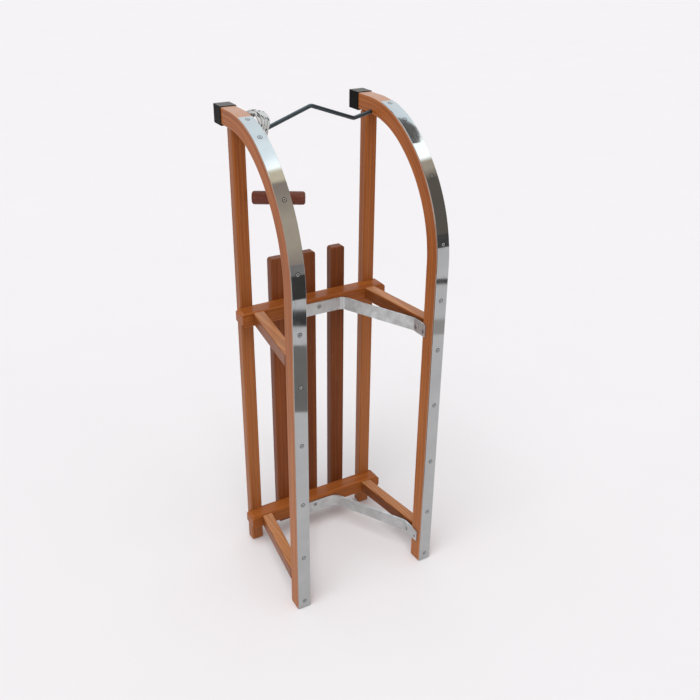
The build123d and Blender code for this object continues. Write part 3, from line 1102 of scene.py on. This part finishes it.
class SLED_OT_tow_rope(bpy.types.Operator):
    """Winds the tow rope on the draw bow and hangs its end, with its knot and handle"""

    bl_idname = "sled.tow_rope"
    bl_label = "Tow Rope"

    def execute(self, context):
        sizes = context.scene.sled_sizes
        line, length = evenly(spline_points(rope_route(sizes)), 0.0009)
        tube = braided_tube("tow_rope", line, sizes.rope_diameter / 2, length)
        finished(tube, "flecked_rope", "flecked_rope", "rope_winding", "rope_strand")
        knot = tow_knot(sizes)
        finished(knot, "flecked_rope", "flecked_rope", "rope_knot")
        handle = tow_handle(sizes)
        finished(handle, "turned_handle", "turned_handle", "tow_handle")
        return {"FINISHED"}


# The knot's loops: the tilt and roll of each in degrees and its lift, then their radius and their
# length round in mm
KNOT_LOOPS = ((18, 8, 0.0031), (-24, 12, -0.0006), (10, -30, -0.0036))
KNOT_RADIUS = 0.0043
KNOT_ROUND = 27.0


def tow_knot(sizes):
    """An overhand knot as three crossing loops of the rope."""
    low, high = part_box("rope_knot")
    middle = (low + high) / 2
    thick = sizes.rope_diameter / 2 * 0.92
    loops = []
    for number, (tilt, roll, lift) in enumerate(KNOT_LOOPS):
        bpy.ops.mesh.primitive_torus_add(
            major_segments=36,
            minor_segments=16,
            major_radius=KNOT_RADIUS,
            minor_radius=thick,
            location=middle + Vector((0, 0, lift)),
            rotation=(math.radians(tilt), math.radians(roll), 0),
            generate_uvs=True,
        )
        loops.append(started(f"knot_loop_{number}"))
    knot = joined(loops, "tow_knot")
    for layer in knot.data.uv_layers:
        layer.name = "rope_length"
    for corner in knot.data.uv_layers["rope_length"].data:
        corner.uv = (corner.uv[1], corner.uv[0] * KNOT_ROUND)
    smooth(knot, 60)
    return knot


def tow_handle(sizes):
    """The handle: a turned bar with rounded ends and a hole across it."""
    low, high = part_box("tow_handle")
    radius = sizes.handle_diameter / 2
    bpy.ops.mesh.primitive_cylinder_add(vertices=56, radius=radius, depth=sizes.handle_length)
    bar = started("turned_tow_handle")
    edit(bar)
    end = sizes.handle_length / 2 - NEAR
    pick(bar, "EDGE", lambda edge: edge.verts[0].co.z * edge.verts[1].co.z > end * end)
    round_edges(0.0052, 6)
    closed()
    bpy.ops.mesh.primitive_cylinder_add(
        vertices=28, radius=sizes.rope_diameter / 2 + 0.0003, depth=0.06, rotation=(math.radians(90), 0, 0)
    )
    cut_out(bar, started("rope_hole"))
    lie = Matrix.Rotation(sizes.handle_turn, 4, "Z") @ Matrix.Rotation(math.radians(90), 4, "Y")
    moved(bar, Matrix.Translation((low + high) / 2) @ lie @ Matrix.Rotation(math.radians(90), 4, "Z"))
    smooth(bar, 35)
    return bar


class SLED_OT_stage(bpy.types.Operator):
    """Sets the pale floor, the soft light and the camera"""

    bl_idname = "sled.stage"
    bl_label = "Stage"

    def execute(self, context):
        finish = context.scene.sled_finish
        bpy.ops.mesh.primitive_plane_add(size=60, location=(0, 0, 0))
        floor = started("studio_floor")
        tree, bsdf = surface("pale_floor", Roughness=1.0, Specular_IOR_Level=0.0)
        place = own_place(tree)
        cloud = noise(tree, place, 3.0, 4.0)
        tone = mixed(tree, cloud, colour(finish.floor), colour(toned(finish.floor, 0.97)))
        tree.links.new(tone, bsdf.inputs["Base Color"])
        floor.data.materials.append(bpy.data.materials["pale_floor"])
        studio_world(finish)
        sun("key_sun", (-0.35, -0.30, 1.00), 1.6, 40)
        sun("fill_sun", (0.30, -1.00, 0.40), 0.35, 80)
        for number, card in enumerate(CARDS, 1):
            grey_card(f"grey_card_{number}", *card)
        bpy.ops.object.camera_add(
            location=CAMERA_PLACE,
            rotation=[math.radians(degrees) for degrees in CAMERA_TURN],
        )
        camera = context.active_object
        camera.name = "photo_camera"
        camera.data.lens = CAMERA_LENS
        camera.data.sensor_width = CAMERA_SENSOR
        context.scene.camera = camera
        view = context.scene.view_settings
        view.view_transform = "Standard"
        return {"FINISHED"}


def sun(name, source, strength, width):
    """A distant lamp, as soft as a wide window, whose light comes from one direction."""
    bpy.ops.object.light_add(type="SUN", location=Vector(source) * 4)
    lamp = bpy.context.active_object
    lamp.name = lamp.data.name = name
    lamp.data.energy = strength
    lamp.data.angle = math.radians(width)
    lamp.visible_glossy = False
    lamp.rotation_euler = Vector(source).to_track_quat("Z", "Y").to_euler()


def grey_card(name, place, width, height, lean, turn, grey):
    """A matt card that only polished metal shows."""
    bpy.ops.mesh.primitive_plane_add(
        size=1, location=place, rotation=(math.radians(90 - lean), 0, math.radians(turn))
    )
    bpy.context.active_object.scale = (width, height, 1)
    card = started(name)
    surface(name, Roughness=0.9, Base_Color=(grey, grey * 0.96, grey * 0.92, 1))
    card.data.materials.append(bpy.data.materials[name])
    card.visible_camera = card.visible_diffuse = card.visible_shadow = False


def room_wall(tree, height, bands):
    """The colours of one side of the room, from its bands."""
    wall = add(tree, "ShaderNodeValToRGB", {0: height})
    ramp = wall.color_ramp
    ramp.elements[0].position, ramp.elements[0].color = bands[0]
    ramp.elements[1].position, ramp.elements[1].color = bands[-1]
    for position, tone in bands[1:-1]:
        ramp.elements.new(position).color = tone
    return wall.outputs[0]


def studio_world(finish):
    """Soft even light from all round, a pale backdrop, and a room of a few bands for what shines."""
    world = bpy.data.worlds.new("studio_world")
    world.use_nodes = True
    bpy.context.scene.world = world
    tree = world.node_tree
    tree.nodes.clear()
    direction = add(tree, "ShaderNodeTexCoord").outputs["Generated"]
    across, away, height = split(tree, direction)
    uneven = noise(tree, direction, 6.0, 3.0)
    up = scaled(tree, height, 0.5, 0.496)
    up = scaled(tree, uneven, 0.008, up)
    side = ranged(tree, across, 0.42, 0.56)
    bands = mixed(tree, side, room_wall(tree, up, ROOM_LEFT), room_wall(tree, up, ROOM_RIGHT))
    pale = tuple(c / ROOM_STRENGTH for c in finish.floor)
    far = mixed(tree, ranged(tree, height, 0.1, 0.8), colour(pale), ROOM_FAR)
    behind = ranged(tree, away, -0.15, 0.25)
    bands = mixed(tree, behind, bands, far)
    room = add(tree, "ShaderNodeBackground", {"Color": bands, "Strength": ROOM_STRENGTH})
    backdrop = add(tree, "ShaderNodeBackground", {"Color": colour(finish.floor), "Strength": 1.05})
    soft = add(tree, "ShaderNodeBackground", {"Color": (0.98, 0.985, 1.0, 1), "Strength": 0.60})
    path = add(tree, "ShaderNodeLightPath").outputs
    shining = math_node(tree, "MAXIMUM", path["Is Glossy Ray"], path["Is Transmission Ray"])
    both = add(tree, "ShaderNodeMixShader", {0: shining, 1: soft.outputs[0], 2: room.outputs[0]})
    shaders = {0: path["Is Camera Ray"], 1: both.outputs[0], 2: backdrop.outputs[0]}
    seen = add(tree, "ShaderNodeMixShader", shaders)
    out = add(tree, "ShaderNodeOutputWorld")
    tree.links.new(seen.outputs[0], out.inputs["Surface"])


class SLED_PT_panel(bpy.types.Panel):
    """Lists the steps that dress the sled"""

    bl_label = "Sled"
    bl_idname = "SLED_PT_panel"
    bl_space_type = "VIEW_3D"
    bl_region_type = "UI"
    bl_category = "Sled"

    def draw(self, context):
        for step in STEPS:
            self.layout.operator(step.bl_idname)
        for group in (context.scene.sled_sizes, context.scene.sled_finish):
            for name in group.__annotations__:
                self.layout.prop(group, name)


STEPS = (
    SLED_OT_finishes,
    SLED_OT_runners,
    SLED_OT_shoes,
    SLED_OT_tip_caps,
    SLED_OT_seat_and_trestles,
    SLED_OT_screws,
    SLED_OT_tow_rope,
    SLED_OT_stage,
)
CLASSES = (SledSizes, SledFinish, *STEPS, SLED_PT_panel)


def register():
    for known in CLASSES:
        bpy.utils.register_class(known)
    bpy.types.Scene.sled_sizes = bpy.props.PointerProperty(type=SledSizes)
    bpy.types.Scene.sled_finish = bpy.props.PointerProperty(type=SledFinish)


def unregister():
    del bpy.types.Scene.sled_finish
    del bpy.types.Scene.sled_sizes
    for known in reversed(CLASSES):
        bpy.utils.unregister_class(known)


def main():
    """Runs every step in order."""
    register()
    bpy.ops.sled.finishes()
    bpy.ops.sled.runners()
    bpy.ops.sled.shoes()
    bpy.ops.sled.tip_caps()
    bpy.ops.sled.seat_and_trestles()
    bpy.ops.sled.screws()
    bpy.ops.sled.tow_rope()
    bpy.ops.sled.stage()


if __name__ == "__main__":
    main()
